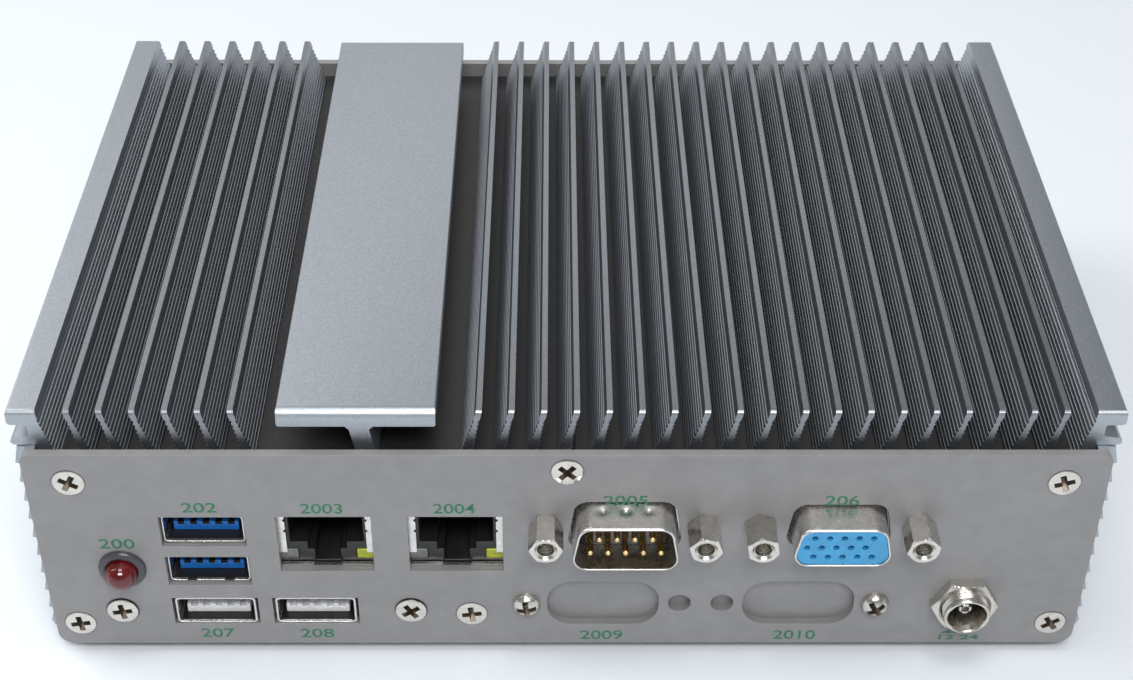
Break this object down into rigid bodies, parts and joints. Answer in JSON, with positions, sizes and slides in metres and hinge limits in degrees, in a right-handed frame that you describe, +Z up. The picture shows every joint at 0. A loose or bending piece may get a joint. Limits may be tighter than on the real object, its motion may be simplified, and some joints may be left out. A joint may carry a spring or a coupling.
{
  "type": "fanless industrial computer",
  "caption": "Small fanless computer: louvred aluminium case under a leaning-fin heatsink, a front panel of network, serial, video and power sockets, and a rear push button.",
  "frame": {"origin": "middle of the overall box, at the underside of the rubber feet", "axes": "+Z up; +X to the right when looking at the port panel; +Y from the port panel to the rear"},
  "size_m": [0.1714, 0.1302, 0.0496],
  "materials": {
    "black_paint": "satin black",
    "black_plastic": "moulded, matt",
    "black_rubber": "matt moulded rubber",
    "blue_plastic": "moulded, smooth",
    "brass_spacer": "turned",
    "bright_blue_plastic": "moulded, smooth",
    "clear_lens": "clear grey lens",
    "copper_block": "machined copper",
    "dark_bezel": "smooth",
    "gold_contact": "gold plated",
    "green_board": "solder resist",
    "green_lens": "yellow-green lens",
    "grey_pad": "soft thermal pad",
    "grey_paint": "smooth matt grey coat",
    "nickel_screw": "nickel plated",
    "red_lamp": "translucent red dome",
    "silver_anodised": "fine silver-grey anodised extrusion",
    "steel_button": "turned stainless steel",
    "tinned_steel": "bright tin plated sheet",
    "white_plastic": "moulded, smooth"
  },
  "bodies": {
    "case": {"blanking_plate": "grey_paint", "blanking_plate_screws": "nickel_screw", "board_screws": "nickel_screw", "board_spacers": "brass_spacer", "bottom_plate": "grey_paint", "bottom_plate_screws": "nickel_screw", "bracket_screws": "nickel_screw", "button_housing": "steel_button", "button_nut": "steel_button", "cell_holder": "black_plastic", "coin_cell": "tinned_steel", "drive_light": "red_lamp", "drive_tray": "tinned_steel", "front_panel": "grey_paint", "front_panel_screws": "nickel_screw", "heat_pad": "grey_pad", "heat_spreader": "copper_block", "heatsink_cover": "silver_anodised", "jack_screws": "nickel_screw", "left_clear_lens": "clear_lens", "left_green_lens": "green_lens", "left_network_housing": "black_plastic", "left_network_shield": "tinned_steel", "left_side_extrusion": "silver_anodised", "left_single_port_shell": "tinned_steel", "left_single_tongue": "white_plastic", "light_bezel": "dark_bezel", "lower_stacked_tongue": "blue_plastic", "main_board": "green_board", "memory_module": "green_board", "memory_socket": "black_plastic", "port_board": "green_board", "port_bracket": "grey_paint", "power_jack_barrel": "nickel_screw", "power_jack_insulator": "black_plastic", "power_jack_nut": "nickel_screw", "power_jack_pin": "nickel_screw", "processor": "green_board", "rear_panel": "grey_paint", "rear_panel_screws": "nickel_screw", "right_clear_lens": "clear_lens", "right_green_lens": "green_lens", "right_network_housing": "black_plastic", "right_network_shield": "tinned_steel", "right_side_extrusion": "silver_anodised", "right_single_port_shell": "tinned_steel", "right_single_tongue": "white_plastic", "rubber_feet": "black_rubber", "serial_plug_insulator": "black_plastic", "serial_plug_pins": "gold_contact", "serial_plug_shell": "tinned_steel", "solid_state_drive": "black_paint", "stacked_port_shell": "tinned_steel", "tray_screw": "nickel_screw", "upper_stacked_tongue": "blue_plastic", "video_socket_insulator": "bright_blue_plastic", "video_socket_shell": "tinned_steel", "video_socket_sleeves": "gold_contact"},
    "button": {"power_button": "steel_button"}
  },
  "joints": [
    {"name": "button_press", "type": "slide", "parent": "case", "child": "button", "axis": [0, -1, 0], "range_m": [0, 0.001], "stiffness_N_per_m": 1000, "springref_m": -0.0015}
  ]
}
